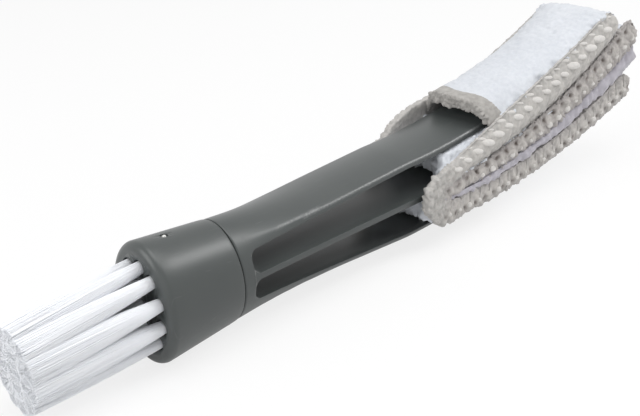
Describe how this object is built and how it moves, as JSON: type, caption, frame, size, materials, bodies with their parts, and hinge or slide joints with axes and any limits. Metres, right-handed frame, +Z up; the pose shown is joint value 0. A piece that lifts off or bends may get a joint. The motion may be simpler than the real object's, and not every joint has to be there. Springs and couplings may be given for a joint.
{
  "type": "detailing brush",
  "caption": "Double-ended hand brush: an oval head of nylon tufts on a curved three-prong handle, with a pull-off terry cloth cover over the prongs for dusting vents and slats.",
  "frame": {"origin": "Centre of the bounding box in X and Y, on the plane that the brush lies on", "axes": "+X runs from the bristle tips along the brush to the cover, +Z is up, and the prongs curve up towards +X"},
  "size_m": [0.1666, 0.022, 0.0394],
  "materials": {
    "grey_plastic": "satin moulded dark grey plastic",
    "white_nylon": "smooth translucent white filament",
    "anchor_steel": "bright flat wire",
    "white_terry": "cool white short-loop microfibre terry",
    "grey_thread": "warm grey overlocked edge"
  },
  "bodies": {
    "handle_body": {"anchor_01": "anchor_steel", "anchor_02": "anchor_steel", "anchor_03": "anchor_steel", "anchor_04": "anchor_steel", "anchor_05": "anchor_steel", "anchor_06": "anchor_steel", "anchor_07": "anchor_steel", "anchor_08": "anchor_steel", "anchor_09": "anchor_steel", "anchor_10": "anchor_steel", "anchor_11": "anchor_steel", "anchor_12": "anchor_steel", "anchor_13": "anchor_steel", "anchor_14": "anchor_steel", "brush_head": "grey_plastic", "handle": "grey_plastic", "tuft_01": "white_nylon", "tuft_02": "white_nylon", "tuft_03": "white_nylon", "tuft_04": "white_nylon", "tuft_05": "white_nylon", "tuft_06": "white_nylon", "tuft_07": "white_nylon", "tuft_08": "white_nylon", "tuft_09": "white_nylon", "tuft_10": "white_nylon", "tuft_11": "white_nylon", "tuft_12": "white_nylon", "tuft_13": "white_nylon", "tuft_14": "white_nylon"},
    "cover_body": {"cover_cloth": "white_terry", "top_mouth_binding": "grey_thread", "bottom_mouth_binding": "grey_thread", "left_edging": "grey_thread", "right_edging": "grey_thread"}
  },
  "joints": [
    {"name": "cover_pull_off", "type": "hinge", "parent": "handle_body", "child": "cover_body", "pos_m": [0.0042, 0, 0.1846], "axis": [0, -1, 0], "range_deg": [0, 23]}
  ]
}
